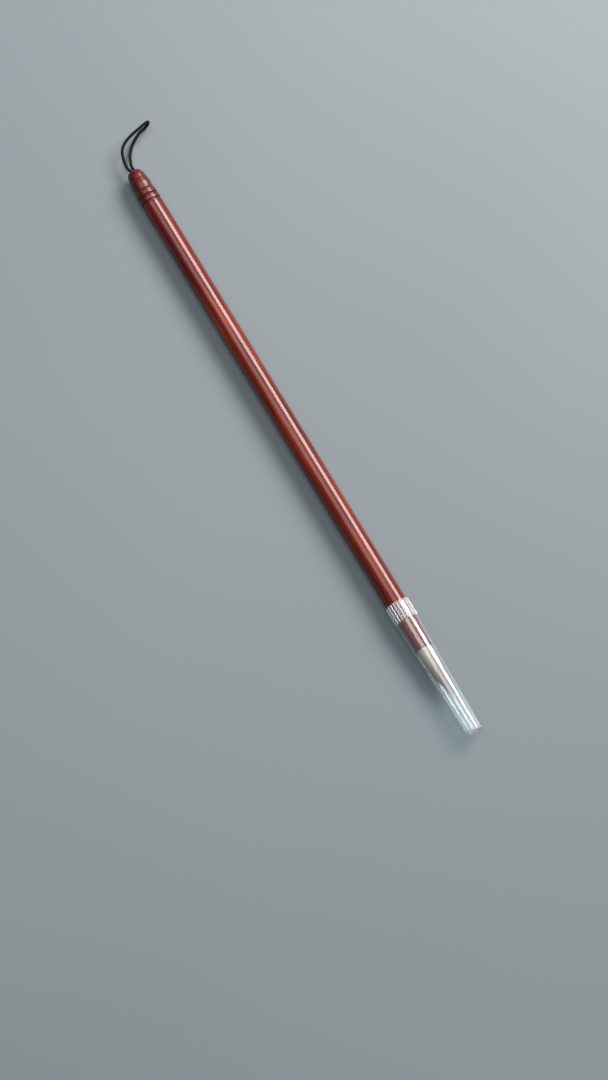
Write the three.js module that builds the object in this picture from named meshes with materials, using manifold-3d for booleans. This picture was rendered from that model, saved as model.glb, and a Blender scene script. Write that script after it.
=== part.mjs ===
// Calligraphy brush with a hanging loop and a clear travel cap, lying on its side.
// Millimetres, +Z up. The brush lies along X: the tuft and the cap point to +X, the loop is at -X.
// The collar of the cap rests on Z = 0, and the origin is below the middle of the whole length.

import * as THREE from "three";
import { mergeVertices } from "three/addons/utils/BufferGeometryUtils.js";
import Module from "manifold-3d";

const wasm = await Module();
wasm.setup();

// ---------- driving dimensions, measured along the axis from the nose of the finial ----------

const CAP_END = 251.5; // outer face of the cap's end wall, so also the whole length
const CAP_LENGTH = 55.4;
const HANDLE_END = 215.6; // lip of the wooden shaft
const TUFT_TIP = 237;
const SHAFT_START = 14.65; // shoulder where the finial meets the shaft
const JOINT_GAP = 0.3; // left between pieces that touch

const SHAFT_TAIL_R = 3.98;
const SHAFT_HEAD_R = 4.08; // just inside the mouth of the cap
const SHAFT_LIP_R = 3.45;
const TENON_R = 2.5;
const TENON_LENGTH = 10;
const TENON_BORE_R = 3.0;
const TENON_BORE_DEPTH = 15;
const CORD_BORE_R = 1.45;
const HEAD_SOCKET_R = 3.05;
const HEAD_SOCKET_DEPTH = 12;

const TUFT_R = 2.95; // at the mouth of the socket
const TUFT_ROOT = HANDLE_END - 10.5; // back of the binding, inside the socket
const ROOT_RESIN_DEPTH = 1.2;

const COLLAR_R = 4.719; // over the flats of the ridges
const COLLAR_VALLEY_R = 4.42;
const COLLAR_LENGTH = 7.5;
const RIDGES = 22;
const CAP_BORE_R = 4.22; // at the mouth
const TUBE_START_R = 4.38;
const TUBE_END_R = 3.17;
const SHOULDER_LENGTH = 1.5; // cone from the collar down to the tube
const CAP_WALL = 0.42;
const END_WALL = 0.9;
const VENT_R = 2.2;
const VENT_BAR = 1.1; // width of the bar between the two vents

const CORD_R = 0.55;
const CORD_SPACING = 0.65; // from the axis to the middle of each leg of the cord
const CORD_SIDES = 8;
const LOOP_STEPS = 40;
const LEG_START = 0.65; // the legs end this far inside the nose, so the loop can swing clear of them

const SIDES = 24; // flats round a turned piece
const CAP_SIDES = 44;

const AXIS_Z = 4.7; // the collar stands on the edges of its two lowest ridges
const NOSE_X = -CAP_END / 2;
const CAP_MOUTH = CAP_END - CAP_LENGTH;
const COLLAR_END = CAP_MOUTH + COLLAR_LENGTH;
const TUBE_START = COLLAR_END + SHOULDER_LENGTH;

// ---------- colours ----------

const material = (color, roughness, more = {}) =>
  new THREE.MeshStandardMaterial({ color, roughness, metalness: 0, ...more });

const SHAFT_WOOD = material(0x7e2f22, 0.22);
const FINIAL_WOOD = material(0x742a20, 0.25);
const CORD_BLACK = material(0x1c1918, 0.6);
const GLUE = material(0xc9a86a, 0.35);
const COVER_HAIR = material(0xdccdb6, 0.7);
const PADDING_HAIR = material(0xe6dccb, 0.7);
const CORE_HAIR = material(0xa9815f, 0.7);
const THREAD = material(0xb5342b, 0.8);
const RESIN = material(0x7a4a1e, 0.3);
const CLEAR_PLASTIC = material(0xd9e3ea, 0.08, { transparent: true, opacity: 0.3 });

// ---------- helpers ----------

const brush = new THREE.Group();

// Everything turned is drawn in this group's frame, where +Y runs along the brush to +X of the part.
const turned = new THREE.Group();
turned.rotation.z = -Math.PI / 2;
turned.position.set(NOSE_X, 0, AXIS_Z);
brush.add(turned);

function place(name, geometry, look, parent = turned) {
  const mesh = new THREE.Mesh(geometry, look);
  mesh.name = name;
  parent.add(mesh);
}

// A solid of revolution from [radius, distance along the brush] corners, with a flat facing down.
function lathe(corners, sides = SIDES) {
  const profile = corners.map(([r, along]) => new THREE.Vector2(r, along));
  return new THREE.LatheGeometry(profile, sides, Math.PI / sides);
}

// A ring of revolution: the corners go once round the section and close on the first one.
function ring(corners, sides = SIDES) {
  return lathe([...corners, corners[0]], sides);
}

// Corners on a round part of a profile, from one angle to the other in degrees.
// 0 points away from the axis and 90 points to the tuft.
function arc(radius, along, size, from, to, steps) {
  const corners = [];
  for (let i = 0; i <= steps; i += 1) {
    const angle = THREE.MathUtils.degToRad(from + ((to - from) * i) / steps);
    corners.push([radius + size * Math.cos(angle), along + size * Math.sin(angle)]);
  }
  return corners;
}

function toSolid(geometry) {
  const bare = geometry.clone();
  bare.deleteAttribute("normal");
  bare.deleteAttribute("uv");
  const merged = mergeVertices(bare, 1e-4);
  return new wasm.Manifold(
    new wasm.Mesh({
      numProp: 3,
      vertProperties: new Float32Array(merged.attributes.position.array),
      triVerts: new Uint32Array(merged.index.array),
    }),
  );
}

function toGeometry(solid) {
  const mesh = solid.getMesh();
  const geometry = new THREE.BufferGeometry();
  geometry.setAttribute("position", new THREE.BufferAttribute(mesh.vertProperties, 3));
  geometry.setIndex(new THREE.BufferAttribute(mesh.triVerts, 1));
  geometry.computeVertexNormals();
  return geometry;
}

// An outline drawn across the brush, in [X, Z] of the turned frame, extruded along it.
function across(outline, start, length) {
  const shape = new THREE.Shape(outline.map(([x, z]) => new THREE.Vector2(x, -z)));
  const geometry = new THREE.ExtrudeGeometry(shape, { depth: length, bevelEnabled: false });
  geometry.rotateX(-Math.PI / 2);
  geometry.translate(0, start, 0);
  return geometry;
}

function roundTube(points, steps) {
  const section = new THREE.Shape();
  for (let i = 0; i < CORD_SIDES; i += 1) {
    const angle = (2 * Math.PI * i) / CORD_SIDES;
    const corner = [CORD_R * Math.cos(angle), CORD_R * Math.sin(angle)];
    if (i === 0) section.moveTo(...corner);
    else section.lineTo(...corner);
  }
  section.closePath();
  const path = new THREE.CatmullRomCurve3(points, false, "centripetal");
  return new THREE.ExtrudeGeometry(section, { steps, extrudePath: path, bevelEnabled: false });
}

// ---------- handle ----------

// The finial: a short nose, a belly, a waist, a flare, a bead between two grooves, and a tenon.
function finial() {
  const shoulder = SHAFT_START - JOINT_GAP;
  return ring([
    [CORD_BORE_R + 0.3, 0],
    [1.95, 0],
    [2.5, 0.5],
    [2.95, 1.4],
    [3.25, 2.4],
    [3.4, 3.8],
    [3.22, 4.5],
    [3.45, 4.9],
    ...arc(2.4, 6.1, 1.3, -35, 35, 4),
    [3.42, 7.7],
    [3.5, 8.5],
    [3.95, 9.8],
    [3.98, 11.2],
    [3.42, 11.5],
    [3.42, 12.0],
    ...arc(2.8, 13.07, 1.18, -50, 50, 4),
    [3.42, 14.1],
    [3.42, shoulder],
    [TENON_R, shoulder],
    [TENON_R, shoulder + TENON_LENGTH],
    [CORD_BORE_R, shoulder + TENON_LENGTH],
    [CORD_BORE_R, 0.4],
  ]);
}

// The shaft: a straight stick that tapers to a rounded lip, bored for the tenon and for the tuft.
function shaft() {
  const tenonBoreEnd = SHAFT_START + TENON_BORE_DEPTH;
  const socketEnd = HANDLE_END - HEAD_SOCKET_DEPTH;
  const lipRound = 0.35;
  return lathe([
    [0, tenonBoreEnd + 1],
    [TENON_BORE_R, tenonBoreEnd],
    [TENON_BORE_R, SHAFT_START],
    [3.5, SHAFT_START],
    [3.88, SHAFT_START + 0.2],
    [SHAFT_TAIL_R, SHAFT_START + 0.7],
    [SHAFT_HEAD_R, 198],
    [3.94, 202],
    [3.77, 207],
    [SHAFT_LIP_R + 0.07, HANDLE_END - 1.2],
    ...arc(SHAFT_LIP_R - lipRound, HANDLE_END - lipRound, lipRound, 15, 90, 3),
    [HEAD_SOCKET_R, HANDLE_END - 0.1],
    [HEAD_SOCKET_R, socketEnd],
    [0, socketEnd - 1],
  ]);
}

// The ring of glue round the tenon, clear of the wood on both sides.
function tenonGlue() {
  const inner = TENON_R + 0.1;
  const outer = TENON_BORE_R - 0.1;
  return ring([
    [inner, SHAFT_START + 1],
    [outer, SHAFT_START + 1],
    [outer, SHAFT_START + 8],
    [inner, SHAFT_START + 8],
  ]);
}

// ---------- hanging loop ----------

// The knot lies in the shaft's bore behind the tenon, and its two legs run up the finial's bore.
function knot() {
  const back = SHAFT_START + TENON_LENGTH;
  const lump = lathe([
    [0, back],
    [1.3, back + 0.15],
    [2.1, back + 0.9],
    [2.3, back + 1.9],
    [1.9, back + 2.9],
    [1.0, back + 3.5],
    [0, back + 3.7],
  ], 16);
  let solid = toSolid(lump);
  for (const side of [-1, 1]) {
    const ends = [LEG_START, back + 1];
    const leg = ends.map((along) => new THREE.Vector3(side * CORD_SPACING, along, 0));
    solid = solid.add(toSolid(roundTube(leg, 1)));
  }
  return toGeometry(solid);
}

// Route of the loop in the part's frame, from one leg to the other. Each point is how far it lies
// out from the nose, how far to the +Y side, and its height above the table.
const LOOP_ROUTE = [
  [0.3, -0.65, 4.7],
  [1.7, -1.1, 4.7],
  [3.6, -1.14, 4.7],
  [5.5, -0.89, 4.73],
  [7.2, -0.45, 4.78],
  [8.8, 0.19, 4.84],
  [10.2, 1.08, 4.9],
  [11.4, 2.36, 4.97],
  [12.4, 4.1, 5.04],
  [13.15, 6.15, 5.14],
  [13.72, 8.3, 5.28],
  [14.15, 10.4, 5.38],
  [14.77, 13.04, 5.41],
  [15.08, 14.1, 5.01],
  [15.34, 14.85, 4.15],
  [15.48, 15.12, 3.02],
  [15.49, 14.85, 1.89],
  [15.34, 14.1, 1.03],
  [15.08, 13.04, 0.63],
  [14.5, 10.75, 0.61],
  [13.5, 8.9, 0.6],
  [12.45, 7.3, 0.62],
  [11.3, 5.85, 0.76],
  [9.9, 4.45, 1.1],
  [8.3, 3.2, 1.62],
  [6.6, 2.2, 2.3],
  [4.8, 1.4, 3.05],
  [3, 0.72, 3.8],
  [1.6, 0.5, 4.35],
  [0.3, 0.65, 4.7],
];

function hangingLoop() {
  const points = LOOP_ROUTE.map(([out, side, height]) => new THREE.Vector3(NOSE_X - out, side, height));
  return roundTube(points, LOOP_STEPS);
}

// ---------- tuft ----------

// Outside of the tuft: straight out of the socket, then drawn in to the point.
const TUFT_OUTLINE = [
  [TUFT_R, HANDLE_END + 0.5],
  [TUFT_R, HANDLE_END + 3],
  [2.86, HANDLE_END + 5.5],
  [2.6, HANDLE_END + 8],
  [2.18, HANDLE_END + 10.5],
  [1.66, HANDLE_END + 13],
  [1.12, HANDLE_END + 15.5],
  [0.62, HANDLE_END + 18],
];

// The cover hair is a sleeve round the other two layers, open to the point of the core.
function coverHair() {
  const inner = 1.95;
  const sleeveEnd = HANDLE_END + 9;
  return ring([
    [inner, TUFT_ROOT],
    [2.45, TUFT_ROOT],
    [2.45, TUFT_ROOT + 5],
    [2.7, TUFT_ROOT + 6.5],
    [2.7, HANDLE_END - 0.2],
    ...TUFT_OUTLINE,
    [0.62 - 0.2, HANDLE_END + 18],
    [1.05, HANDLE_END + 13.2],
    [inner - 0.4, sleeveEnd + 1.4],
    [inner, sleeveEnd - 0.6],
  ]);
}

// The padding hair is a short sleeve round the core that fills the belly.
function paddingHair() {
  const inner = 1.2;
  const outer = 1.7;
  return ring([
    [inner, TUFT_ROOT],
    [outer, TUFT_ROOT],
    [outer, HANDLE_END + 7.5],
    [inner + 0.08, HANDLE_END + 9],
    [inner, HANDLE_END + 9],
  ]);
}

// The core hair runs the whole length and makes the point.
function coreHair() {
  return lathe([
    [0, TUFT_ROOT],
    [0.95, TUFT_ROOT],
    [0.95, HANDLE_END + 11],
    [0.75, HANDLE_END + 13.2],
    [0.2, HANDLE_END + 17.8],
    [0.38, HANDLE_END + 18.4],
    [0.2, HANDLE_END + 20],
    [0, TUFT_TIP],
  ], 16);
}

// Turns of thread round the root of the hair.
function bindingThread() {
  const inner = 2.52;
  const turns = 4;
  const pitch = 0.5;
  const start = TUFT_ROOT + 0.6;
  const corners = [[inner, start]];
  for (let i = 0; i < turns; i += 1) {
    const middle = start + (i + 0.5) * pitch;
    corners.push([inner + 0.12, middle - pitch / 2 + 0.02], [inner + 0.26, middle]);
  }
  corners.push([inner, start + turns * pitch]);
  return ring(corners);
}

// The disc of resin that the cut roots of the hair are sealed with.
function rootResin() {
  const front = TUFT_ROOT - JOINT_GAP;
  return lathe([
    [0, front - ROOT_RESIN_DEPTH],
    [2.3, front - ROOT_RESIN_DEPTH],
    [2.75, front - ROOT_RESIN_DEPTH + 0.3],
    [2.75, front],
    [0, front],
  ]);
}

// The ring of glue that holds the bound tuft in the socket.
function socketGlue() {
  const inner = 2.79;
  const outer = HEAD_SOCKET_R - 0.06;
  return ring([
    [inner, TUFT_ROOT + 3],
    [outer, TUFT_ROOT + 3],
    [outer, HANDLE_END - 2],
    [inner, HANDLE_END - 2],
  ]);
}

// ---------- travel cap ----------

// Radius of the tube's outside at a distance along the brush.
function tubeRadius(along) {
  const share = (along - TUBE_START) / (CAP_END - TUBE_START);
  return THREE.MathUtils.lerp(TUBE_START_R, TUBE_END_R, share);
}

// The collar's outline: ridges with narrow flats, and a valley between the two lowest ones.
function collarOutline() {
  const pitch = (2 * Math.PI) / RIDGES;
  const flat = 0.15 * pitch; // half the angle of a ridge's flat
  const valley = 0.33 * pitch;
  const corners = [];
  for (let i = 0; i < RIDGES; i += 1) {
    const middle = -Math.PI / 2 + (i + 0.5) * pitch;
    for (const [angle, radius] of [
      [-flat, COLLAR_R / Math.cos(flat)],
      [flat, COLLAR_R / Math.cos(flat)],
      [valley, COLLAR_VALLEY_R],
      [pitch - valley, COLLAR_VALLEY_R],
    ]) {
      corners.push([radius * Math.cos(middle + angle), radius * Math.sin(middle + angle)]);
    }
  }
  return corners;
}

// One of the two half-moon vents in the end wall. The bar between them stands upright.
function vent(side) {
  const half = Math.asin(VENT_BAR / 2 / VENT_R);
  const corners = [];
  const steps = 10;
  for (let i = 0; i <= steps; i += 1) {
    const angle = half + ((Math.PI - 2 * half) * i) / steps;
    corners.push([side * VENT_R * Math.sin(angle), VENT_R * Math.cos(angle)]);
  }
  if (side > 0) corners.reverse();
  return across(corners, CAP_END - 3, 6);
}

function cap() {
  const rimRound = 0.45;
  const rimCentre = [tubeRadius(CAP_END - rimRound) - rimRound, CAP_END - rimRound];
  const outside = lathe([
    [0, CAP_MOUTH + 0.6],
    [COLLAR_VALLEY_R, CAP_MOUTH + 0.6],
    [COLLAR_VALLEY_R + 0.06, COLLAR_END - 0.2],
    [COLLAR_R - 0.1, COLLAR_END - 0.2],
    [COLLAR_R - 0.1, COLLAR_END],
    [TUBE_START_R, TUBE_START],
    ...arc(rimCentre[0], rimCentre[1], rimRound, 0, 90, 4),
    [0, CAP_END],
  ], CAP_SIDES);
  const collar = across(collarOutline(), CAP_MOUTH, COLLAR_LENGTH - 0.1);
  const floor = CAP_END - END_WALL;
  const inside = lathe([
    [0, CAP_MOUTH - 1],
    [CAP_BORE_R + 0.1, CAP_MOUTH - 1],
    [CAP_BORE_R + 0.1, CAP_MOUTH + 0.3],
    [CAP_BORE_R, CAP_MOUTH + 0.6],
    [CAP_BORE_R, COLLAR_END - 0.5],
    [TUBE_START_R - CAP_WALL, TUBE_START + 1.5],
    [tubeRadius(floor) - CAP_WALL, floor - 0.3],
    [tubeRadius(floor) - CAP_WALL - 0.3, floor],
    [0, floor],
  ], CAP_SIDES);
  let solid = toSolid(outside).add(toSolid(collar)).subtract(toSolid(inside));
  for (const side of [-1, 1]) {
    solid = solid.subtract(toSolid(vent(side)));
  }
  return toGeometry(solid);
}

// ---------- assembly ----------

place("handle_shaft", shaft(), SHAFT_WOOD);
place("tail_finial", finial(), FINIAL_WOOD);
place("tenon_glue", tenonGlue(), GLUE);
place("cord_knot", knot(), CORD_BLACK);
place("hanging_loop", hangingLoop(), CORD_BLACK, brush);
place("tuft_cover_hair", coverHair(), COVER_HAIR);
place("tuft_padding_hair", paddingHair(), PADDING_HAIR);
place("tuft_core_hair", coreHair(), CORE_HAIR);
place("tuft_binding_thread", bindingThread(), THREAD);
place("tuft_root_resin", rootResin(), RESIN);
place("socket_glue", socketGlue(), GLUE);
place("brush_cap", cap(), CLEAR_PLASTIC);

export default brush;
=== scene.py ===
import math
import random

import bmesh
import bpy
import numpy as np
from mathutils import Matrix, Vector
from mathutils.geometry import delaunay_2d_cdt


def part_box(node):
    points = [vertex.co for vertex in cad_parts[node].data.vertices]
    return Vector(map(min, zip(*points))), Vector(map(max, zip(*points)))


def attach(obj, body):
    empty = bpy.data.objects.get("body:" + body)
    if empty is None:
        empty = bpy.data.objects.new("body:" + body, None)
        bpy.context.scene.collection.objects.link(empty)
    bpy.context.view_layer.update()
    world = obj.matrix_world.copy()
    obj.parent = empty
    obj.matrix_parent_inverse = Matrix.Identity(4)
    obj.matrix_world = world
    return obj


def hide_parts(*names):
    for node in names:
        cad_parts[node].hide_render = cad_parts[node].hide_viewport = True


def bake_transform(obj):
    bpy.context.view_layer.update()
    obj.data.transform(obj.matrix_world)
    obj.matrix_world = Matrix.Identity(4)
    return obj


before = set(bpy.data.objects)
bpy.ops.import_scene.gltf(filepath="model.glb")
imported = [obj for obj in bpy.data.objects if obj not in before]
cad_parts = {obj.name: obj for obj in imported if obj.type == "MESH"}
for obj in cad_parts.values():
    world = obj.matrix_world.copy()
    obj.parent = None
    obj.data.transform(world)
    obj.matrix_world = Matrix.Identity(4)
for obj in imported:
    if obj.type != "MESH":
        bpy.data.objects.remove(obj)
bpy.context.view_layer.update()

# A calligraphy brush that lies on its side: lacquered handle, turned finial, cord loop, hair tuft
# and clear travel cap. Profiles are in millimetres, measured along the brush from the finial's nose.

MM = 0.001
NOSE_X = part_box("tail_finial")[0].x
AXIS_Z = (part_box("brush_cap")[0].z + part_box("brush_cap")[1].z) / 2


def along(node, high):
    """How far a node's low or high end lies from the nose, in millimetres."""
    return (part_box(node)[high].x - NOSE_X) / MM


def half_width(node):
    """Half of a node's width across the brush, in millimetres."""
    low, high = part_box(node)
    return (high.y - low.y) / 2 / MM


SHAFT_START = along("handle_shaft", 0)
HANDLE_END = along("handle_shaft", 1)
TUFT_ROOT = along("tuft_core_hair", 0)
TUFT_TIP = along("tuft_core_hair", 1)
CAP_MOUTH = along("brush_cap", 0)
CAP_END = along("brush_cap", 1)
AXIS = Vector((0.0, 0.0, AXIS_Z))


# ---------- camera ----------

def make_camera():
    """A long lens high over the brush, looking down its length at a slant from the cap's side."""
    azimuth = math.radians(59.98)
    elevation = math.radians(72.6)
    distance = 1.464
    target = Vector((0.0323, -0.0170, AXIS_Z))
    forward = Vector((
        -math.sin(azimuth) * math.cos(elevation),
        math.cos(azimuth) * math.cos(elevation),
        -math.sin(elevation),
    ))
    data = bpy.data.cameras.new("camera")
    data.sensor_width = 36.0
    data.lens = 133.3
    data.clip_start = 0.05
    data.clip_end = 20.0
    camera = bpy.data.objects.new("camera", data)
    camera.location = target - forward * distance
    camera.rotation_euler = forward.to_track_quat("-Z", "Y").to_euler()
    bpy.context.scene.collection.objects.link(camera)
    bpy.context.scene.camera = camera


# ---------- mesh helpers ----------

def make_object(name, points, faces, material, uv=None):
    """A smooth mesh object from points in metres. uv has one pair for each point."""
    mesh = bpy.data.meshes.new(name)
    mesh.from_pydata([tuple(p) for p in points], [], faces)
    mesh.polygons.foreach_set("use_smooth", [True] * len(mesh.polygons))
    if uv is not None:
        layer = mesh.uv_layers.new(name="UVMap")
        corner_point = np.zeros(len(mesh.loops), int)
        mesh.loops.foreach_get("vertex_index", corner_point)
        layer.data.foreach_set("uv", np.asarray(uv, np.float32)[corner_point].ravel())
    mesh.materials.append(material)
    mesh.validate()
    mesh.update()
    made = bpy.data.objects.new(name, mesh)
    bpy.context.scene.collection.objects.link(made)
    return made


def rounded(corners, closed=False, steps=5):
    """A profile of (along, radius) points, from (along, radius, fillet) corners."""
    count = len(corners)
    line = []
    for i, corner in enumerate(corners):
        here = np.array(corner[:2], float)
        fillet = corner[2] if len(corner) > 2 else 0.0
        if fillet == 0.0 or (not closed and i in (0, count - 1)):
            line.append(here)
            continue
        before = np.array(corners[i - 1][:2], float) - here
        after = np.array(corners[(i + 1) % count][:2], float) - here
        long_before = np.linalg.norm(before)
        long_after = np.linalg.norm(after)
        before /= long_before
        after /= long_after
        angle = math.acos(float(np.clip(before @ after, -1, 1)))
        if angle > math.pi - 0.01:
            line.append(here)
            continue
        cut = min(fillet / math.tan(angle / 2), 0.48 * long_before, 0.48 * long_after)
        radius = cut * math.tan(angle / 2)
        middle = here + (before + after) / np.linalg.norm(before + after) * radius / math.sin(angle / 2)
        start = here + before * cut - middle
        sweep = math.pi - angle
        turn = 1.0 if start[0] * (here - middle)[1] - start[1] * (here - middle)[0] > 0 else -1.0
        for k in range(steps + 1):
            a = turn * sweep * k / steps
            line.append(middle + np.array([
                start[0] * math.cos(a) - start[1] * math.sin(a),
                start[0] * math.sin(a) + start[1] * math.cos(a),
            ]))
    return line


def supported(line, longest=1.2, closed=False):
    """The profile with extra points near the ends of long stretches, so that fillets shade cleanly."""
    shortest = 0.3
    margin = 0.04
    made = []
    count = len(line)
    for i in range(count):
        made.append(line[i])
        if i == count - 1 and not closed:
            break
        step = line[(i + 1) % count] - line[i]
        size = np.linalg.norm(step)
        if size > shortest:
            inner = max(1, int(size / longest))
            shares = [margin / size] + [k / inner for k in range(1, inner)] + [1 - margin / size]
            made += [line[i] + step * share for share in shares]
    return made


def on_axis(u, radius, angle):
    """The point at a distance along the brush, a radius and an angle round it, from +Y towards +Z."""
    return (
        NOSE_X + u * MM,
        radius * MM * math.cos(angle),
        AXIS_Z + radius * MM * math.sin(angle),
    )


def turned(name, line, material, sides=128, closed=False, radius_at=None):
    """A solid of revolution from (along, radius) points that start and end on the axis, or close."""
    points = []
    rings = []
    for u, r in line:
        if r < 1e-6:
            rings.append([len(points)] * sides)
            points.append(on_axis(u, 0.0, 0.0))
            continue
        rings.append(list(range(len(points), len(points) + sides)))
        for k in range(sides):
            angle = 2 * math.pi * k / sides
            points.append(on_axis(u, radius_at(u, r, angle) if radius_at else r, angle))
    faces = []
    pairs = list(zip(rings, rings[1:] + rings[:1]))
    for low, high in pairs if closed else pairs[:-1]:
        for k in range(sides):
            n = (k + 1) % sides
            corners = list(dict.fromkeys([low[k], low[n], high[n], high[k]]))
            if len(corners) > 2:
                faces.append(corners)
    made = make_object(name, points, faces, material)
    facing_out(made)
    return made


def facing_out(made):
    """Turns the faces outwards where the mesh's volume is negative."""
    mesh = made.data
    mesh.calc_loop_triangles()
    co = np.array([v.co for v in mesh.vertices])
    tri = np.array([t.vertices for t in mesh.loop_triangles])
    a, b, c = co[tri[:, 0]], co[tri[:, 1]], co[tri[:, 2]]
    if float((a * np.cross(b, c)).sum()) < 0:
        mesh.flip_normals()


def spline(points, spacing):
    """Points a spacing apart on a centripetal Catmull-Rom curve through the given ones."""
    p = np.array(points, float)
    p = np.vstack([2 * p[0] - p[1], p, 2 * p[-1] - p[-2]])
    fine = []
    for i in range(1, len(p) - 2):
        t = [0.0]
        for k in range(i - 1, i + 2):
            t.append(t[-1] + np.linalg.norm(p[k + 1] - p[k]) ** 0.5)
        for x in np.linspace(t[1], t[2], 40, endpoint=False):
            a = [
                ((t[k + 1] - x) * p[i - 1 + k] + (x - t[k]) * p[i + k]) / (t[k + 1] - t[k])
                for k in range(3)
            ]
            b = [((t[k + 2] - x) * a[k] + (x - t[k]) * a[k + 1]) / (t[k + 2] - t[k]) for k in range(2)]
            fine.append(((t[2] - x) * b[0] + (x - t[1]) * b[1]) / (t[2] - t[1]))
    fine.append(p[-2])
    fine = np.array(fine)
    run = np.concatenate([[0], np.cumsum(np.linalg.norm(np.diff(fine, axis=0), axis=1))])
    at = np.linspace(0, run[-1], max(2, round(run[-1] / spacing) + 1))
    return np.stack([np.interp(at, run, fine[:, k]) for k in range(3)], axis=1)


def frames_on(line):
    """For each point of a line, its direction and two normals that don't twist about it."""
    tangents = np.gradient(line, axis=0)
    tangents /= np.linalg.norm(tangents, axis=1)[:, None]
    normal = np.cross(tangents[0], [0.0, 0.0, 1.0])
    if np.linalg.norm(normal) < 1e-3:
        normal = np.cross(tangents[0], [0.0, 1.0, 0.0])
    first = []
    for t in tangents:
        normal = normal - t * (normal @ t)
        normal = normal / np.linalg.norm(normal)
        first.append(normal)
    first = np.array(first)
    return tangents, first, np.cross(tangents, first)


def tube_rings(line, radii, sides, points, faces, uv=None, v_scale=1.0):
    """Adds a closed tube along a line to the lists of points and faces."""
    _, first, second = frames_on(line)
    start = len(points)
    run = 0.0
    for i, centre in enumerate(line):
        if i:
            run += float(np.linalg.norm(line[i] - line[i - 1]))
        for k in range(sides):
            a = 2 * math.pi * k / sides
            points.append(centre + radii[i] * (first[i] * math.cos(a) + second[i] * math.sin(a)))
            if uv is not None:
                uv.append((k / sides, run * v_scale))
    join_rings(start, len(line), sides, faces)


def join_rings(start, count, sides, faces):
    """Adds the sides and both ends of a tube whose rings of points follow one another from start."""
    for i in range(count - 1):
        low = start + i * sides
        for k in range(sides):
            n = (k + 1) % sides
            faces.append([low + k, low + n, low + sides + n, low + sides + k])
    last = start + (count - 1) * sides
    faces.append([start + k for k in reversed(range(sides))])
    faces.append([last + k for k in range(sides)])


# ---------- material helpers ----------

def new_material(name):
    """A material with a Principled shader: (material, its node tree, the shader)."""
    material = bpy.data.materials.new(name)
    material.use_nodes = True
    tree = material.node_tree
    shader = next(n for n in tree.nodes if n.type == "BSDF_PRINCIPLED")
    return material, tree, shader


def add(tree, kind, inputs=(), **settings):
    """A node with its settings, and with inputs as {socket: value or output socket}."""
    node = tree.nodes.new(kind)
    for key, value in settings.items():
        setattr(node, key, value)
    for key, value in dict(inputs).items():
        if isinstance(value, bpy.types.NodeSocket):
            tree.links.new(value, node.inputs[key])
        else:
            node.inputs[key].default_value = value
    return node


def place(tree):
    """Object coordinates in metres."""
    return add(tree, "ShaderNodeTexCoord").outputs["Object"]


def stretched(tree, scale):
    """Object coordinates times a scale for each axis."""
    return add(tree, "ShaderNodeMapping", {"Vector": place(tree), "Scale": scale}).outputs[0]


def noise(tree, vector, scale=1.0, detail=3.0, rough=0.5, distortion=0.0):
    """Smooth noise from 0 to 1."""
    return add(tree, "ShaderNodeTexNoise", {
        "Vector": vector,
        "Scale": scale,
        "Detail": detail,
        "Roughness": rough,
        "Distortion": distortion,
    }).outputs["Fac"]


def ramp(tree, factor, stops):
    """A colour ramp from (position, colour) stops, where a colour is a grey or red, green and blue."""
    node = add(tree, "ShaderNodeValToRGB", {"Fac": factor})
    elements = node.color_ramp.elements
    while len(elements) < len(stops):
        elements.new(0.5)
    for element, (position, colour) in zip(elements, stops):
        element.position = position
        rgb = (colour,) * 3 if isinstance(colour, (int, float)) else colour
        element.color = (*rgb, 1.0)
    return node.outputs["Color"]


# Where a Mix node keeps its factor, its two colours and its resulting colour.
MIX_FACTOR, MIX_A, MIX_B = 0, 6, 7
MIX_RESULT = 2


def mixed(tree, mode, factor, a, b):
    """Two colours mixed by a factor, where each is a value or an output socket."""
    node = add(tree, "ShaderNodeMix", data_type="RGBA", blend_type=mode)
    for socket, value in ((MIX_FACTOR, factor), (MIX_A, a), (MIX_B, b)):
        if isinstance(value, bpy.types.NodeSocket):
            tree.links.new(value, node.inputs[socket])
        else:
            node.inputs[socket].default_value = value if socket == MIX_FACTOR else (*value, 1.0)
    return node.outputs[MIX_RESULT]


def calculated(tree, operation, *values):
    """The result of a Math node on up to three values or output sockets."""
    return add(tree, "ShaderNodeMath", enumerate(values), operation=operation).outputs[0]


def share_along(tree, start, end, low=0.0, high=1.0):
    """Runs from low to high between two distances from the nose, in millimetres."""
    return add(tree, "ShaderNodeMapRange", {
        "Value": add(tree, "ShaderNodeSeparateXYZ", {"Vector": place(tree)}).outputs["X"],
        "From Min": NOSE_X + start * MM,
        "From Max": NOSE_X + end * MM,
        "To Min": low,
        "To Max": high,
    }).outputs["Result"]


def bumped(tree, height, distance, strength=1.0):
    """A normal for fine relief of a height times a distance in metres."""
    return add(tree, "ShaderNodeBump", {
        "Height": height,
        "Distance": distance,
        "Strength": strength,
    }).outputs["Normal"]


# ---------- materials ----------

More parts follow.
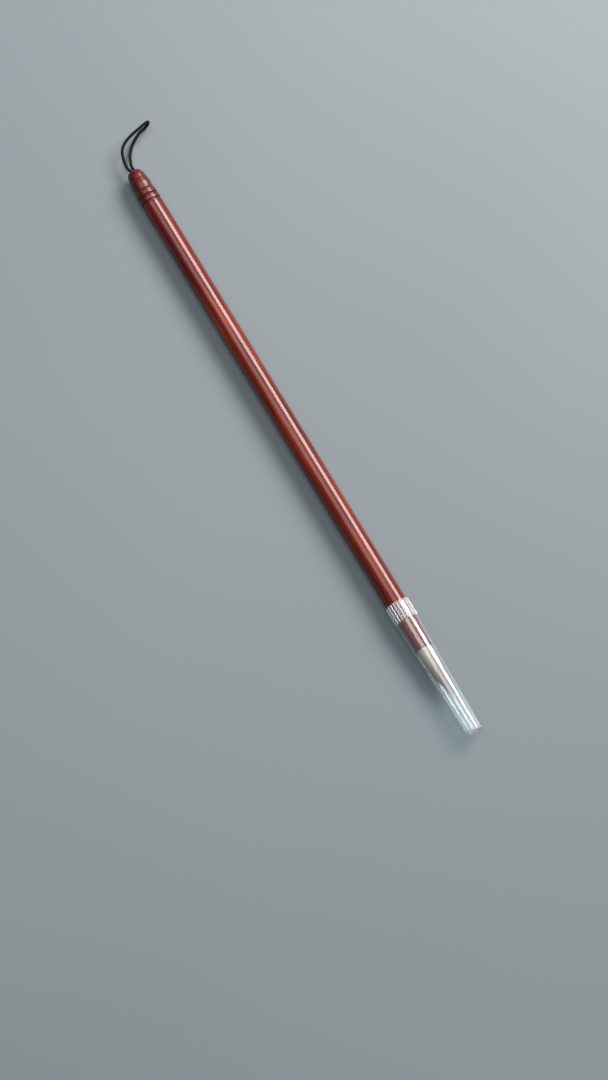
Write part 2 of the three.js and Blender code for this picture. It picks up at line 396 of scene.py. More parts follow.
def lacquered_wood(name, shift, depth, coat, gloss):
    """Red-brown rosewood with long streaks and dark pores, a deeper red at the tail, under lacquer."""
    material, tree, shader = new_material(name)
    moved = add(tree, "ShaderNodeVectorMath", {0: place(tree), 1: shift}, operation="ADD").outputs[0]

    def grain(scale, **more):
        vector = add(tree, "ShaderNodeMapping", {"Vector": moved, "Scale": scale}).outputs[0]
        return noise(tree, vector, **more)

    figure = grain((14, 260, 260), detail=4, rough=0.6, distortion=0.6)
    streak = grain((50, 1700, 1700), detail=5, rough=0.62)
    pores = grain((420, 11000, 11000), detail=2, rough=0.5)
    colour = ramp(tree, figure, [
        (0.32, (0.080, 0.0052, 0.0024)),
        (0.45, (0.140, 0.0092, 0.0034)),
        (0.56, (0.210, 0.0180, 0.0050)),
        (0.70, (0.340, 0.0500, 0.0110)),
    ])
    dark = ramp(tree, streak, [(0.30, 0.35), (0.50, 0.85), (0.66, 1.0)])
    colour = mixed(tree, "MULTIPLY", 0.85, colour, dark)
    hole = ramp(tree, pores, [(0.30, 0.30), (0.40, 1.0)])
    colour = mixed(tree, "MULTIPLY", 0.6, colour, hole)
    share = share_along(tree, 15, 110)
    tail = ramp(tree, share, [(0.0, (depth, depth * 0.68, depth)), (1.0, 1.0)])
    colour = mixed(tree, "MULTIPLY", 1.0, colour, tail)
    tree.links.new(colour, shader.inputs["Base Color"])
    tree.links.new(ramp(tree, streak, [(0.3, 0.46), (0.7, 0.38)]), shader.inputs["Roughness"])
    shader.inputs["Specular IOR Level"].default_value = 0.15
    shader.inputs["Coat Weight"].default_value = coat
    shader.inputs["Coat Roughness"].default_value = gloss
    shader.inputs["Coat IOR"].default_value = 1.5
    return material


def waxed_cord():
    """Black waxed cord: fine fibres that run slightly askew along each ply."""
    material, tree, shader = new_material("waxed_cord")
    flat = add(tree, "ShaderNodeTexCoord").outputs["UV"]
    askew = add(tree, "ShaderNodeMapping", {"Vector": flat, "Rotation": (0, 0, 0.5)}).outputs[0]
    fibre = add(tree, "ShaderNodeTexWave", {
        "Vector": askew,
        "Scale": 2.6,
        "Distortion": 2.5,
        "Detail": 3.0,
    }, wave_type="BANDS", bands_direction="X").outputs["Fac"]
    fluff = noise(tree, place(tree), scale=2600, detail=3)
    base = ramp(tree, fibre, [(0.0, (0.002, 0.0018, 0.0018)), (1.0, (0.008, 0.0068, 0.0065))])
    worn = ramp(tree, fluff, [(0.45, 0.0), (0.75, 0.3)])
    colour = mixed(tree, "MIX", worn, base, (0.018, 0.014, 0.013))
    tree.links.new(colour, shader.inputs["Base Color"])
    tree.links.new(ramp(tree, fluff, [(0.3, 0.42), (0.7, 0.62)]), shader.inputs["Roughness"])
    tree.links.new(bumped(tree, fibre, 0.00003, 0.7), shader.inputs["Normal"])
    shader.inputs["Specular IOR Level"].default_value = 0.12
    shader.inputs["Sheen Weight"].default_value = 0.01
    shader.inputs["Sheen Roughness"].default_value = 0.4
    return material


def hair(name, root, middle, tip, start, end):
    """Fine straight hair: streaks along the tuft, and a colour that changes from root to tip."""
    material, tree, shader = new_material(name)
    wander = noise(tree, stretched(tree, (300, 1500, 1500)), detail=2)
    uneven = calculated(tree, "ADD", share_along(tree, start, end), wander)
    colour = ramp(tree, calculated(tree, "SUBTRACT", uneven, 0.5), [
        (0.0, root),
        (0.45, middle),
        (0.95, tip),
    ])
    streak = noise(tree, stretched(tree, (130, 6500, 6500)), detail=4, rough=0.65)
    streak_shade = ramp(tree, streak, [(0.28, 0.50), (0.46, 0.86), (0.7, 1.0)])
    colour = mixed(tree, "MULTIPLY", 0.85, colour, streak_shade)
    strand = add(tree, "ShaderNodeAttribute", attribute_name="strand").outputs["Fac"]
    strand_shade = ramp(tree, strand, [(0.0, 0.62), (0.5, 0.92), (1.0, 1.0)])
    colour = mixed(tree, "MULTIPLY", 0.6, colour, strand_shade)
    tree.links.new(colour, shader.inputs["Base Color"])
    tree.links.new(bumped(tree, streak, 0.00005, 0.8), shader.inputs["Normal"])
    shader.inputs["Roughness"].default_value = 0.48
    shader.inputs["Sheen Weight"].default_value = 0.35
    shader.inputs["Sheen Roughness"].default_value = 0.35
    shader.inputs["Anisotropic"].default_value = 0.5
    return material


def spun_thread():
    """Dull red cotton thread with its plies showing as slanted ridges."""
    material, tree, shader = new_material("spun_thread")
    flat = add(tree, "ShaderNodeTexCoord").outputs["UV"]
    slanted = add(tree, "ShaderNodeMapping", {"Vector": flat, "Rotation": (0, 0, 0.8)}).outputs[0]
    ply = add(tree, "ShaderNodeTexWave", {
        "Vector": slanted,
        "Scale": 1.6,
        "Distortion": 1.0,
    }).outputs["Fac"]
    colour = ramp(tree, ply, [(0.0, (0.16, 0.012, 0.010)), (1.0, (0.42, 0.045, 0.032))])
    tree.links.new(colour, shader.inputs["Base Color"])
    tree.links.new(bumped(tree, ply, 0.00003), shader.inputs["Normal"])
    shader.inputs["Roughness"].default_value = 0.8
    shader.inputs["Sheen Weight"].default_value = 0.4
    return material


def set_glue():
    """Amber glue with small bubbles and a wavy skin."""
    material, tree, shader = new_material("set_glue")
    cloudy = noise(tree, place(tree), scale=1500, detail=4)
    colour = ramp(tree, cloudy, [(0.3, (0.36, 0.20, 0.07)), (0.7, (0.62, 0.42, 0.20))])
    tree.links.new(colour, shader.inputs["Base Color"])
    tree.links.new(bumped(tree, cloudy, 0.00006, 0.6), shader.inputs["Normal"])
    tree.links.new(ramp(tree, cloudy, [(0.3, 0.18), (0.7, 0.4)]), shader.inputs["Roughness"])
    shader.inputs["Subsurface Weight"].default_value = 0.3
    shader.inputs["Subsurface Scale"].default_value = 0.0004
    return material


def root_resin_material():
    """Dark brown melted resin, glossy, with darker burnt patches."""
    material, tree, shader = new_material("root_resin")
    patch = noise(tree, place(tree), scale=900, detail=4)
    colour = ramp(tree, patch, [(0.35, (0.050, 0.018, 0.006)), (0.65, (0.22, 0.085, 0.025))])
    tree.links.new(colour, shader.inputs["Base Color"])
    tree.links.new(bumped(tree, patch, 0.00008, 0.6), shader.inputs["Normal"])
    tree.links.new(ramp(tree, patch, [(0.3, 0.2), (0.7, 0.42)]), shader.inputs["Roughness"])
    shader.inputs["Coat Weight"].default_value = 0.4
    return material


def clear_plastic():
    """Clear moulded plastic with faint flow lines, hazier at the end wall and scuffed on its ridges."""
    material, tree, shader = new_material("clear_plastic")
    flow = noise(tree, stretched(tree, (30, 900, 900)), detail=3)
    speck = noise(tree, place(tree), scale=3000, detail=3)
    scratch = noise(tree, stretched(tree, (300, 2500, 2500)), detail=3)
    worn = add(tree, "ShaderNodeAttribute", attribute_name="worn").outputs["Fac"]
    raised = add(tree, "ShaderNodeMapRange", {
        "Value": worn,
        "From Min": 0.35,
        "From Max": 0.9,
    }).outputs["Result"]
    patchy = ramp(tree, scratch, [(0.3, 0.7), (0.6, 1.0)])
    scuff = calculated(tree, "MULTIPLY", raised, patchy)
    smooth = ramp(tree, speck, [(0.35, 0.045), (0.75, 0.08)])
    rough = calculated(tree, "MULTIPLY_ADD", scuff, 0.25, smooth)
    tree.links.new(rough, shader.inputs["Roughness"])
    tree.links.new(bumped(tree, flow, 0.00002, 0.2), shader.inputs["Normal"])
    tint = ramp(tree, flow, [(0.3, (0.91, 0.95, 0.98)), (0.7, (0.95, 0.98, 1.0))])
    tree.links.new(tint, shader.inputs["Base Color"])
    unworn = share_along(tree, CAP_END - 26, CAP_END, low=0.965, high=0.86)
    clear = calculated(tree, "MULTIPLY_ADD", scuff, -0.42, unworn)
    tree.links.new(clear, shader.inputs["Transmission Weight"])
    shader.inputs["IOR"].default_value = 1.53
    shader.inputs["Specular IOR Level"].default_value = 0.26
    shader.inputs["Sheen Weight"].default_value = 0.5
    shader.inputs["Sheen Roughness"].default_value = 0.3
    shader.inputs["Sheen Tint"].default_value = (0.84, 0.95, 1.0, 1.0)
    through = add(tree, "ShaderNodeBsdfTransparent", {"Color": (0.84, 0.88, 0.90, 1.0)})
    path = add(tree, "ShaderNodeLightPath")
    unseen = calculated(tree, "MAXIMUM", path.outputs["Is Shadow Ray"], path.outputs["Is Diffuse Ray"])
    either = add(tree, "ShaderNodeMixShader", {0: unseen, 1: shader.outputs[0], 2: through.outputs[0]})
    output = next(n for n in tree.nodes if n.type == "OUTPUT_MATERIAL")
    tree.links.new(either.outputs[0], output.inputs["Surface"])
    return material


def pale_floor():
    """A plain cool grey table top with a soft satin finish."""
    material, tree, shader = new_material("pale_floor")
    cloud = noise(tree, place(tree), scale=3.0, detail=2)
    colour = ramp(tree, cloud, [(0.35, (0.186, 0.214, 0.229)), (0.65, (0.200, 0.229, 0.244))])
    tree.links.new(colour, shader.inputs["Base Color"])
    shader.inputs["Roughness"].default_value = 0.55
    shader.inputs["Specular IOR Level"].default_value = 0.3
    return material


# ---------- hanging loop ----------

CORD_RADIUS = 0.57
CORD_SIDES = 48
BRAID_STRANDS = 8
BRAID_LAY = 3.2  # length of one turn of a strand
BRAID_DEPTH = 0.108  # of the grooves between strands
LEG_START = 0.65  # where the knot's legs begin, from the nose
LEG_SPACING = 0.65  # from the bore's middle to the middle of a leg
LEG_REACH = 1.2  # how far the loop's ends run into the bore

# Out from the nose, to the +Y side, and height over the table, in millimetres.
LOOP_ROUTE = [
    (0.3, -0.65, 4.7),
    (1.7, -1.1, 4.7),
    (3.6, -1.14, 4.7),
    (5.5, -0.89, 4.73),
    (7.2, -0.45, 4.78),
    (8.8, 0.19, 4.84),
    (10.2, 1.08, 4.9),
    (11.4, 2.36, 4.97),
    (12.4, 4.1, 5.04),
    (13.15, 6.15, 5.14),
    (13.72, 8.3, 5.28),
    (14.15, 10.4, 5.38),
    (14.77, 13.04, 5.41),
    (15.08, 14.1, 5.01),
    (15.34, 14.85, 4.15),
    (15.48, 15.12, 3.02),
    (15.49, 14.85, 1.89),
    (15.34, 14.1, 1.03),
    (15.08, 13.04, 0.63),
    (14.5, 10.75, 0.61),
    (13.5, 8.9, 0.6),
    (12.45, 7.3, 0.62),
    (11.3, 5.85, 0.76),
    (9.9, 4.45, 1.1),
    (8.3, 3.2, 1.62),
    (6.6, 2.2, 2.3),
    (4.8, 1.4, 3.05),
    (3, 0.72, 3.8),
    (1.6, 0.5, 4.35),
    (0.3, 0.65, 4.7),
]


def braided(line, points, faces, uv):
    """Adds a round braided cord along a line in metres: strands that cross over and under each other."""
    _, first, second = frames_on(line)
    run = np.concatenate([[0], np.cumsum(np.linalg.norm(np.diff(line, axis=0), axis=1))]) / MM
    start = len(points)
    for i, centre in enumerate(line):
        for k in range(CORD_SIDES):
            angle = 2 * math.pi * k / CORD_SIDES
            left = BRAID_STRANDS / 2 * (angle + 2 * math.pi * run[i] / BRAID_LAY)
            right = BRAID_STRANDS / 2 * (angle - 2 * math.pi * run[i] / BRAID_LAY)
            over = max(abs(math.cos(left / 2)), abs(math.cos(right / 2)))
            radius = (CORD_RADIUS - BRAID_DEPTH * (1 - over)) * MM
            across = first[i] * math.cos(angle) + second[i] * math.sin(angle)
            points.append(centre + radius * across)
            uv.append((k / CORD_SIDES, run[i] * 0.9))
    join_rings(start, len(line), CORD_SIDES, faces)


def in_frame(out, side, height):
    """The point in metres for one in LOOP_ROUTE's terms."""
    return (NOSE_X - out * MM, side * MM, height * MM)


def make_loop(material):
    """The cord loop, from one leg just inside the bore round to the other."""
    ends = [in_frame(-LEG_REACH, side * LEG_SPACING, AXIS_Z / MM) for side in (-1, 1)]
    route = [in_frame(*p) for p in LOOP_ROUTE]
    line = spline([ends[0], *route, ends[1]], 0.06 * MM)
    points, faces, uv = [], [], []
    braided(line, points, faces, uv)
    loop = make_object("hanging_loop_cord", points, faces, material, uv)
    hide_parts("hanging_loop")
    return loop, line


def make_knot(material):
    """The stopper knot behind the finial's tenon, and its two legs in the bore."""
    back = along("cord_knot", 1)
    middle = back - 1.9
    size = 0.57
    crossing = 0.62
    strand = 0.5
    steps = 160
    ring = []
    for k in range(steps):
        t = 2 * math.pi * k / steps
        across = size * (math.sin(t) + 2 * math.sin(2 * t))
        up = size * (math.cos(t) - 2 * math.cos(2 * t))
        ring.append((NOSE_X + (middle - crossing * math.sin(3 * t)) * MM, across * MM, AXIS_Z + up * MM))
    ring.append(ring[0])
    points, faces, uv = [], [], []
    tube_rings(np.array(ring), [strand * MM] * len(ring), 14, points, faces, uv, v_scale=900.0)
    for side in (-1, 1):
        leg = spline([
            on_axis(LEG_START, side * LEG_SPACING, 0.0),
            on_axis(back - 6.0, side * LEG_SPACING, 0.0),
            on_axis(middle - 0.4, side * 0.9, 0.5),
        ], 0.08 * MM)
        braided(leg, points, faces, uv)
    knot = make_object("stopper_knot", points, faces, material, uv)
    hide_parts("cord_knot")
    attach(knot, "handle")
    return knot


# ---------- handle ----------

def make_finial(material):
    """Nose, ring, belly and flare, then a bead between two grooves, and the tenon."""
    bore = 1.45
    groove = 3.48
    shoulder = SHAFT_START - 0.02
    tenon = 2.5
    tenon_end = along("tail_finial", 1)
    corners = [
        (0.0, bore + 0.3, 0.15),
        (0.0, 2.0, 0.35),
        (0.5, 2.62, 0.7),
        (1.2, 3.0, 1.4),
        (2.4, 3.38, 2.4),
        (3.65, 3.52, 0.5),
        (4.05, 3.33, 0.22),
        (4.5, 3.55, 0.6),
        (6.3, 3.82, 3.0),
        (8.2, 3.62, 2.4),
        (9.0, 3.7, 1.4),
        (9.75, 3.98, 0.9),
        (11.35, 4.04, 0.35),
        (11.78, 3.45, 0.16),
        (12.15, 3.97, 0.35),
        (13.05, 4.04, 1.6),
        (13.9, 3.96, 0.3),
        (14.2, groove, 0.16),
        (shoulder, groove, 0.04),
        (shoulder, tenon, 0.1),
        (tenon_end, tenon, 0.3),
        (tenon_end, bore, 0.1),
        (0.45, bore, 0.3),
    ]
    line = supported(rounded(corners, closed=True), closed=True)
    made = turned("turned_finial", line, material, closed=True)
    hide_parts("tail_finial")
    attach(made, "handle")


def make_shaft(material):
    """The stick: rounded shoulder at the finial, a long taper under the cap, and a rounded lip."""
    tenon_bore = 3.0
    bore_end = SHAFT_START + 15
    socket = 3.05
    socket_end = HANDLE_END - 12
    drill_point = 1
    corners = [
        (bore_end + drill_point, 0.0),
        (bore_end, tenon_bore, 0.2),
        (SHAFT_START, tenon_bore, 0.1),
        (SHAFT_START, 3.7, 0.05),
        (SHAFT_START + 0.18, 3.94, 0.25),
        (SHAFT_START + 0.8, 3.98, 2.0),
        (198, 4.08, 8.0),
        (207, 3.77, 20.0),
        (HANDLE_END - 1.2, 3.52, 2.0),
        (HANDLE_END, 3.45, 0.32),
        (HANDLE_END, socket, 0.08),
        (socket_end, socket, 0.3),
        (socket_end - drill_point, 0.0),
    ]
    line = supported(rounded(corners), longest=4.0)
    made = turned("lacquered_shaft", line, material, sides=160)
    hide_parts("handle_shaft")
    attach(made, "handle")


def make_glue_ring(name, node, material, thick):
    """A ring of set glue in the gap that its CAD ring fills, with soft uneven edges."""
    start = along(node, 0)
    end = along(node, 1)
    outer = half_width(node)
    inner = outer - thick
    phase = random.Random(len(node)).uniform(0, 2 * math.pi)

    def uneven(u, r, angle):
        if r <= (inner + outer) / 2:
            return r
        return r - 0.02 * (1 + math.sin(5 * angle + phase + u)) / 2

    line = supported(rounded([
        (start, inner, 0.05),
        (start, outer, 0.08),
        (end, outer, 0.08),
        (end, inner, 0.05),
    ], closed=True), closed=True)
    made = turned(name, line, material, sides=96, closed=True, radius_at=uneven)
    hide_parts(node)
    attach(made, "handle")


# ---------- tuft ----------

# The outside of the tuft: distance out from the shaft's lip, and radius.
BELLY = [
    (-0.2, 2.70),
    (0.5, 2.90),
    (1.6, 2.95),
    (3.0, 2.95),
    (5.5, 2.86),
    (8.0, 2.60),
    (10.5, 2.18),
    (13.0, 1.66),
    (15.5, 1.12),
    (18.0, 0.60),
    (20.0, 0.24),
    (21.0, 0.06),
]

# The core hair, in the same terms, and the distances at which its profile has points.
CORE = [
    (-11, 0.93),
    (11, 0.93),
    (13.2, 0.73),
    (17.8, 0.34),
    (18.4, 0.36),
    (20, 0.16),
    (21, 0.03),
]
CORE_STATIONS = [-10.5, 0, 6, 11, 12, 13.2, 15, 17.8, 18.4, 19.2, 20.0, 20.6]


def radius_in(profile, u):
    """The radius of a profile at a distance along the brush."""
    return float(np.interp(u - HANDLE_END, [p[0] for p in profile], [p[1] for p in profile]))


def cover_radius(u):
    """How far the loose cover hairs lie from the axis."""
    return radius_in(BELLY, u) + 0.015


def padding_radius(u):
    """How far the loose padding hairs lie from the axis."""
    return 1.66 if u < HANDLE_END + 7 else 1.5


def core_radius(u):
    """How far the outside of the core hair lies from the axis."""
    return radius_in(CORE, u)


def clumped(seed, depth):
    """A radius that is gathered into shallow clumps of hair, which straighten towards the root."""
    draw = random.Random(seed)
    waves = [(n, draw.uniform(0, 2 * math.pi), draw.uniform(-0.05, 0.05)) for n in (9, 14, 23, 37, 61)]

    def radius(u, r, angle):
        total = sum(math.sin(n * angle + phase + skew * u * 3) / n ** 0.5 for n, phase, skew in waves)
        return r * (1 + depth * total)

    return radius


def add_strands(count, seed, start, stop, radius_of, thickness, points, faces, shade):
    """Thin hairs laid along the outside of a layer, each ending at its own place near the point."""
    draw = random.Random(seed)
    steps = 26
    sides = 4
    for _ in range(count):
        angle = draw.uniform(0, 2 * math.pi)
        sweep = draw.gauss(0, 0.10)
        lift = draw.uniform(-0.02, 0.035)
        begin = start + draw.uniform(0, 0.4)
        end = stop - abs(draw.gauss(0, 0.16)) * (stop - start) * 0.5
        wobble = draw.uniform(0, 2 * math.pi)
        line = []
        for k in range(steps):
            share = k / (steps - 1)
            u = begin + (end - begin) * share
            a = angle + sweep * share + 0.02 * math.sin(5 * share + wobble)
            line.append(on_axis(u, max(radius_of(u) + lift * math.sin(math.pi * share), 0.0), a))
        radii = [thickness * MM * (1.0 - 0.75 * (k / (steps - 1)) ** 2) for k in range(steps)]
        before = len(points)
        tube_rings(np.array(line), radii, sides, points, faces)
        shade += [draw.random()] * (len(points) - before)


def make_layer(name, node, material, line, strands, depth, seed, closed=True):
    """One layer of the tuft: a clumped body with separate hairs on it.

    strands has the number of hairs, where they start and stop, their distance from the axis as a
    function of the distance along the brush, and their thickness.
    """
    body = turned(name, line, material, sides=192, closed=closed, radius_at=clumped(seed, depth))
    points = [np.array(v.co) for v in body.data.vertices]
    faces = [list(p.vertices) for p in body.data.polygons]
    shade = [0.55] * len(points)
    count, start, stop, radius_of, thickness = strands
    add_strands(count, seed + 1, start, stop, radius_of, thickness, points, faces, shade)
    bpy.data.objects.remove(body)
    made = make_object(name, points, faces, material)
    attribute = made.data.attributes.new("strand", "FLOAT", "POINT")
    attribute.data.foreach_set("value", shade)
    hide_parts(node)
    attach(made, "handle")


def make_tuft(cover, padding, core):
    """Cover hair over padding hair over core hair, drawn to one point."""
    inner = 1.95
    outside = [(HANDLE_END + out, r) for out, r in BELLY[:-2]]
    corners = [
        (TUFT_ROOT, inner),
        (TUFT_ROOT, 2.45),
        (TUFT_ROOT + 5, 2.45),
        (TUFT_ROOT + 6.5, 2.68),
        *outside,
        (HANDLE_END + 18.1, 0.45),
        (HANDLE_END + 13.2, 1.05),
        (HANDLE_END + 10.4, 1.55),
        (HANDLE_END + 8.4, inner),
    ]
    line = supported([np.array(c, float) for c in corners], longest=0.6, closed=True)
    strands = (900, HANDLE_END - 0.5, HANDLE_END + 20.6, cover_radius, 0.038)
    make_layer("cover_hair", "tuft_cover_hair", cover, line, strands, depth=0.006, seed=11)

    corners = [
        (TUFT_ROOT, 1.22),
        (TUFT_ROOT, 1.68),
        (HANDLE_END + 7.5, 1.68),
        (HANDLE_END + 9, 1.3),
        (HANDLE_END + 9, 1.22),
    ]
    line = supported([np.array(c, float) for c in corners], longest=1.0, closed=True)
    strands = (160, TUFT_ROOT, HANDLE_END + 9, padding_radius, 0.03)
    make_layer(
        "padding_hair", "tuft_padding_hair", padding, line, strands,
        depth=0.004, seed=23,
    )

    corners = [
        (TUFT_ROOT, 0.0),
        *[(HANDLE_END + out, core_radius(HANDLE_END + out)) for out in CORE_STATIONS],
        (TUFT_TIP, 0.0),
    ]
    line = supported([np.array(c, float) for c in corners], longest=0.8)
    strands = (150, TUFT_ROOT, TUFT_TIP, lambda u: core_radius(u) + 0.01, 0.034)
    make_layer(
        "core_hair", "tuft_core_hair", core, line, strands,
        depth=0.006, seed=37, closed=False,
    )


def make_thread(material):
    """The binding: turns of thread wound side by side round the root of the hair."""
    start = along("tuft_binding_thread", 0)
    end = along("tuft_binding_thread", 1)
    radius = 0.125
    wound_at = half_width("tuft_binding_thread") - radius - 0.01
    turns = 7
    steps = turns * 48
    line = []
    for k in range(steps + 1):
        share = k / steps
        u = start + radius + (end - start - 2 * radius) * share
        line.append(on_axis(u, wound_at, 2 * math.pi * turns * share))
    points, faces, uv = [], [], []
    tube_rings(np.array(line), [radius * MM] * len(line), 12, points, faces, uv, v_scale=2500.0)
    made = make_object("binding_thread", points, faces, material, uv)
    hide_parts("tuft_binding_thread")
    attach(made, "handle")


def make_resin(material):
    """The button of melted resin on the cut roots of the hair, slightly domed and uneven."""
    back = along("tuft_root_resin", 0)
    front = along("tuft_root_resin", 1)

    def uneven(u, r, angle):
        return r * (1 - 0.02 * (1 + math.sin(3 * angle + 1) + 0.5 * math.sin(7 * angle)) / 2)

    line = rounded([
        (back, 0.0),
        (back + 0.05, 1.2, 0.8),
        (back + 0.25, 2.3, 0.5),
        (back + 0.6, 2.74, 0.4),
        (front, 2.74, 0.12),
        (front, 0.0),
    ])
    line = supported(line, longest=0.4)
    made = turned("root_resin_button", line, material, sides=96, radius_at=uneven)
    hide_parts("tuft_root_resin")
    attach(made, "handle")


# ---------- travel cap ----------

RIDGES = 22
RIDGE_RADIUS = half_width("brush_cap")
VALLEY_RADIUS = 4.42
COLLAR_LENGTH = 7.5
TUBE_START = CAP_MOUTH + COLLAR_LENGTH + 1.5
TUBE_START_RADIUS = 4.38
TUBE_END_RADIUS = 3.17
WALL = 0.42
END_WALL = 0.9
VENT_RADIUS = 2.2
VENT_BAR = 1.1
CAP_SIDES = RIDGES * 24
RIDGE_FOOT = 0.31  # from a ridge's middle to its foot, as a share of the pitch
RIDGE_SLOPE = 0.21  # width of a ridge's slope, in the same share
BORE_RADIUS = 4.22  # inside the collar
MOUTH_RADIUS = 4.3


def tube_radius(u):
    """Outer radius of the tapered tube at a distance along the brush."""
    share = (u - TUBE_START) / (CAP_END - TUBE_START)
    return TUBE_START_RADIUS + (TUBE_END_RADIUS - TUBE_START_RADIUS) * share


def flute(angle):
    """0 in a valley of the collar and 1 on a ridge, with a valley facing straight down."""
    off = abs(math.remainder((angle + math.pi / 2) * RIDGES / (2 * math.pi) - 0.5, 1.0))
    rise = min(1.0, max(0.0, (RIDGE_FOOT - off) / RIDGE_SLOPE))
    return rise * rise * (3 - 2 * rise)


def vent_outline(side, grow, steps=40):
    """A half-moon, with rounded corners, as (y, z) pairs in millimetres; grow moves its edge out."""
    corner = 0.3 + grow
    radius = VENT_RADIUS + grow
    flat = VENT_BAR / 2 - grow
    reach = radius - corner
    centre_y = flat + corner
    centre_z = math.sqrt(reach ** 2 - centre_y ** 2)
    turn = math.atan2(centre_z, centre_y)
    outline = []
    for k in range(steps + 1):
        a = -turn + 2 * turn * k / steps
        outline.append((radius * math.cos(a), radius * math.sin(a)))
    for k in range(1, 9):
        a = turn + (math.pi - turn) * k / 8
        outline.append((centre_y + corner * math.cos(a), centre_z + corner * math.sin(a)))
    for k in range(8):
        a = math.pi + (math.pi - turn) * k / 8
        outline.append((centre_y + corner * math.cos(a), -centre_z + corner * math.sin(a)))
    return [(side * y, z) for y, z in outline]


def make_cap(material):
    """The moulded cap: fluted collar, tapered tube and an end wall with two half-moon vents."""
    rim = 0.45
    floor = CAP_END - END_WALL
    inner_end = tube_radius(floor) - WALL
    collar_end = CAP_MOUTH + COLLAR_LENGTH
    outer = rounded([
        (CAP_MOUTH, MOUTH_RADIUS, 0.06),
        (CAP_MOUTH, VALLEY_RADIUS, 0.06),
        (collar_end - 0.12, VALLEY_RADIUS + 0.03, 0.05),
        (collar_end, TUBE_START_RADIUS + 0.16, 0.2),
        (TUBE_START, TUBE_START_RADIUS, 1.2),
        (CAP_END, TUBE_END_RADIUS, rim),
        (CAP_END, 2.55),
    ], steps=6)
    inner = rounded([
        (floor, 2.45),
        (floor, inner_end, 0.3),
        (TUBE_START + 1.5, TUBE_START_RADIUS - WALL, 1.5),
        (collar_end - 0.5, BORE_RADIUS, 1.0),
        (CAP_MOUTH + 0.6, BORE_RADIUS, 0.3),
        (CAP_MOUTH + 0.05, MOUTH_RADIUS, 0.05),
        (CAP_MOUTH, MOUTH_RADIUS),
    ], steps=6)
    outer_line = supported(outer, longest=0.8)
    inner_line = supported(inner, longest=2.0)

    def ridge_share(u, r, angle):
        """How much of a ridge's full height a point of the collar has."""
        into = min(u - CAP_MOUTH, collar_end - 0.05 - u)
        if into <= 0.0 or abs(r - VALLEY_RADIUS) > 0.06:
            return 0.0
        fade = min(1.0, into / 0.22)
        return flute(angle) * math.sqrt(fade * (2 - fade))

    points, faces, worn = [], [], []

    def band(line, has_ridges):
        """Adds a wall round the axis and returns the first point's number in each of its rings."""
        rings = []
        for u, r in line:
            rings.append(len(points))
            edge_wear = 0.6 if u < CAP_MOUTH + 0.08 or u > CAP_END - 0.3 else 0.0
            for k in range(CAP_SIDES):
                angle = 2 * math.pi * k / CAP_SIDES
                share = ridge_share(u, r, angle) if has_ridges else 0.0
                points.append(on_axis(u, r + (RIDGE_RADIUS - VALLEY_RADIUS) * share, angle))
                worn.append(max(share, edge_wear))
        for low, high in zip(rings, rings[1:]):
            for k in range(CAP_SIDES):
                n = (k + 1) % CAP_SIDES
                faces.append([low + k, low + n, high + n, high + k])
        return rings

    outer_rings = band(outer_line, True)
    inner_rings = band(inner_line, False)
    for k in range(CAP_SIDES):
        n = (k + 1) % CAP_SIDES
        low, high = inner_rings[-1], outer_rings[0]
        faces.append([low + k, low + n, high + n, high + k])

    edge = 0.12
    rounding = [(0.0, edge), (0.3, edge * 0.55), (0.6, edge * 0.25), (1.0, 0.0)]
    front_loops = [list(range(outer_rings[-1], outer_rings[-1] + CAP_SIDES))]
    back_loops = [list(range(inner_rings[0], inner_rings[0] + CAP_SIDES))]
    for side in (-1, 1):
        levels = [(CAP_END - edge * depth, grow) for depth, grow in rounding]
        levels += [(floor + edge * depth, grow) for depth, grow in reversed(rounding)]
        loops = []
        for u, grow in levels:
            outline = vent_outline(side, grow)
            loops.append(list(range(len(points), len(points) + len(outline))))
            for y, z in outline:
                points.append((NOSE_X + u * MM, y * MM, AXIS_Z + z * MM))
                worn.append(0.3)
        for low, high in zip(loops, loops[1:]):
            for k in range(len(low)):
                n = (k + 1) % len(low)
                faces.append([low[k], low[n], high[n], high[k]])
        front_loops.append(loops[0])
        back_loops.append(loops[-1])
    faces += filled(points, front_loops)
    faces += filled(points, back_loops)
    made = make_object("clear_cap", points, faces, material)
    attribute = made.data.attributes.new("worn", "FLOAT", "POINT")
    attribute.data.foreach_set("value", worn)
    clean_normals(made)
    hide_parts("brush_cap")
    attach(made, "cap")


def filled(points, loops):
    """Triangles over a flat region: inside the first loop of point numbers and outside the rest."""
    order = [i for loop in loops for i in loop]
    outlines = [[Vector((points[i][1] / MM, points[i][2] / MM)) for i in loop] for loop in loops]
    flat = [spot for outline in outlines for spot in outline]
    edges = []
    start = 0
    for loop in loops:
        edges += [(start + k, start + (k + 1) % len(loop)) for k in range(len(loop))]
        start += len(loop)
    spots, _, triangles, origin, *_ = delaunay_2d_cdt(flat, edges, [], 0, 1e-6)
    rim, *holes = outlines
    kept = []
    for triangle in triangles:
        middle = sum((spots[i] for i in triangle), Vector((0, 0))) / 3
        if inside(middle, rim) and not any(inside(middle, hole) for hole in holes):
            kept.append([order[origin[i][0]] for i in triangle])
    return kept


def inside(point, outline):
    """Whether a point is inside a closed outline."""
    crossings = 0
    for a, b in zip(outline, outline[1:] + outline[:1]):
        if (a.y > point.y) != (b.y > point.y):
            crossings += point.x < a.x + (point.y - a.y) / (b.y - a.y) * (b.x - a.x)
    return crossings % 2 == 1


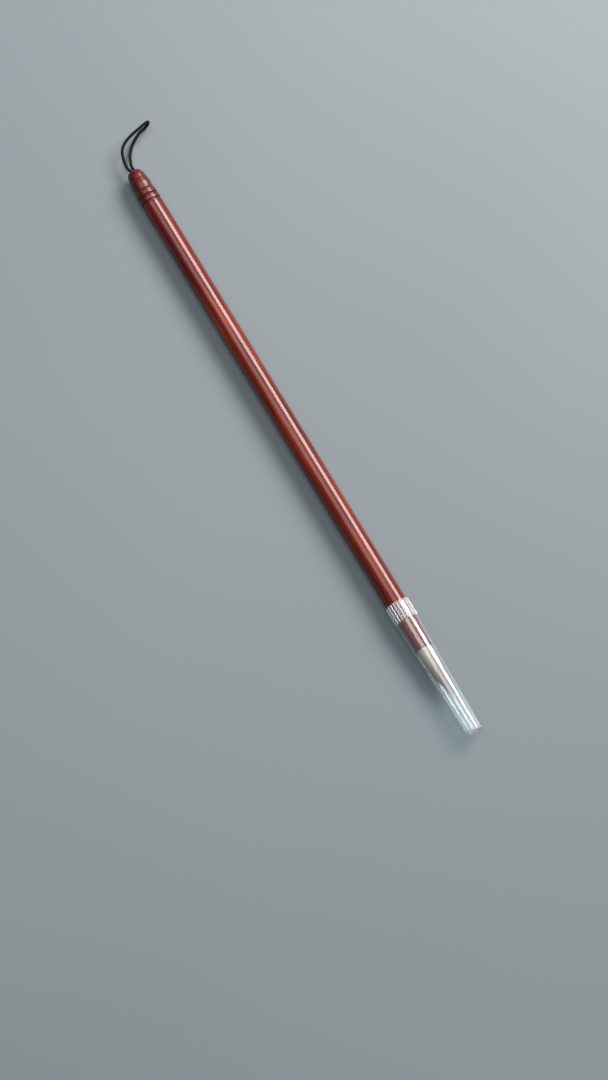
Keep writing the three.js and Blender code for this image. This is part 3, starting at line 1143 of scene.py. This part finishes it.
def clean_normals(made):
    """Makes every face look outwards, and shades sharp edges sharp."""
    sharpest = math.radians(50)
    work = bmesh.new()
    work.from_mesh(made.data)
    bmesh.ops.remove_doubles(work, verts=work.verts, dist=1e-8)
    bmesh.ops.recalc_face_normals(work, faces=work.faces)
    for edge in work.edges:
        if len(edge.link_faces) == 2 and edge.calc_face_angle(0.0) > sharpest:
            edge.smooth = False
    work.to_mesh(made.data)
    work.free()
    facing_out(made)


# ---------- stage ----------

def make_floor():
    """A square table top, in a grid of small faces."""
    size = 1.6
    steps = 8
    points, faces = [], []
    for i in range(steps + 1):
        for k in range(steps + 1):
            points.append((size * (i / steps * 2 - 1), size * (k / steps * 2 - 1), 0.0))
    for i in range(steps):
        for k in range(steps):
            low = i * (steps + 1) + k
            faces.append([low, low + steps + 1, low + steps + 2, low + 1])
    make_object("floor", points, faces, pale_floor())


def area_light(name, direction, distance, size, power, colour, across):
    """A softbox at a distance along a direction from AXIS. Its width, the first of size, lies across."""
    data = bpy.data.lights.new(name, "AREA")
    data.shape = "RECTANGLE"
    data.size, data.size_y = size
    data.energy = power
    data.color = colour
    light = bpy.data.objects.new(name, data)
    away = Vector(direction).normalized()
    light.location = AXIS + away * distance
    x_axis = Vector(across)
    x_axis = (x_axis - away * x_axis.dot(away)).normalized()
    y_axis = away.cross(x_axis)
    turn = Matrix((x_axis, y_axis, away)).transposed()
    light.rotation_euler = turn.to_euler()
    bpy.context.scene.collection.objects.link(light)


def make_lights():
    """One long soft key on the loop's side of the brush, a dim overhead fill, and a grey room."""
    area_light(
        "key",
        direction=(-0.295, 0.737, 0.663),
        distance=1.04,
        size=(0.72, 0.46),
        power=19,
        colour=(1.0, 0.965, 0.935),
        across=(0.876, 0.32, -0.36),
    )
    area_light(
        "fill",
        direction=(-0.2, -0.11, 1.0),
        distance=1.5,
        size=(1.2, 0.8),
        power=10.5,
        colour=(0.93, 0.97, 1.0),
        across=(1.0, 0.45, 0.0),
    )
    world = bpy.data.worlds.new("room")
    world.use_nodes = True
    background = next(n for n in world.node_tree.nodes if n.type == "BACKGROUND")
    background.inputs["Color"].default_value = (0.72, 0.78, 0.82, 1.0)
    background.inputs["Strength"].default_value = 0.16
    bpy.context.scene.world = world
    bpy.context.scene.view_settings.view_transform = "Standard"


# ---------- assembly ----------

make_camera()
cord = waxed_cord()
loop, loop_line = make_loop(cord)
knot = make_knot(cord)
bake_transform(loop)
make_finial(lacquered_wood(
    "finial_wood",
    shift=(0.31, 0.0021, 0.0017),
    depth=0.66,
    coat=0.72,
    gloss=0.31,
))
make_shaft(lacquered_wood(
    "shaft_wood",
    shift=(0.0, 0.0, 0.0),
    depth=0.9,
    coat=0.6,
    gloss=0.13,
))
glue = set_glue()
make_glue_ring("tenon_glue_ring", "tenon_glue", glue, thick=0.3)
make_glue_ring("socket_glue_ring", "socket_glue", glue, thick=0.2)
make_tuft(
    cover=hair(
        "cover_hair",
        root=(0.60, 0.52, 0.39), middle=(0.56, 0.45, 0.33), tip=(0.26, 0.15, 0.10),
        start=HANDLE_END, end=HANDLE_END + 21,
    ),
    padding=hair(
        "padding_hair",
        root=(0.78, 0.70, 0.57), middle=(0.76, 0.67, 0.53), tip=(0.7, 0.6, 0.45),
        start=TUFT_ROOT, end=HANDLE_END + 9,
    ),
    core=hair(
        "core_hair",
        root=(0.46, 0.30, 0.18), middle=(0.40, 0.24, 0.14), tip=(0.16, 0.08, 0.05),
        start=TUFT_ROOT, end=TUFT_TIP,
    ),
)
make_thread(spun_thread())
make_resin(root_resin_material())
make_cap(clear_plastic())
make_floor()
make_lights()
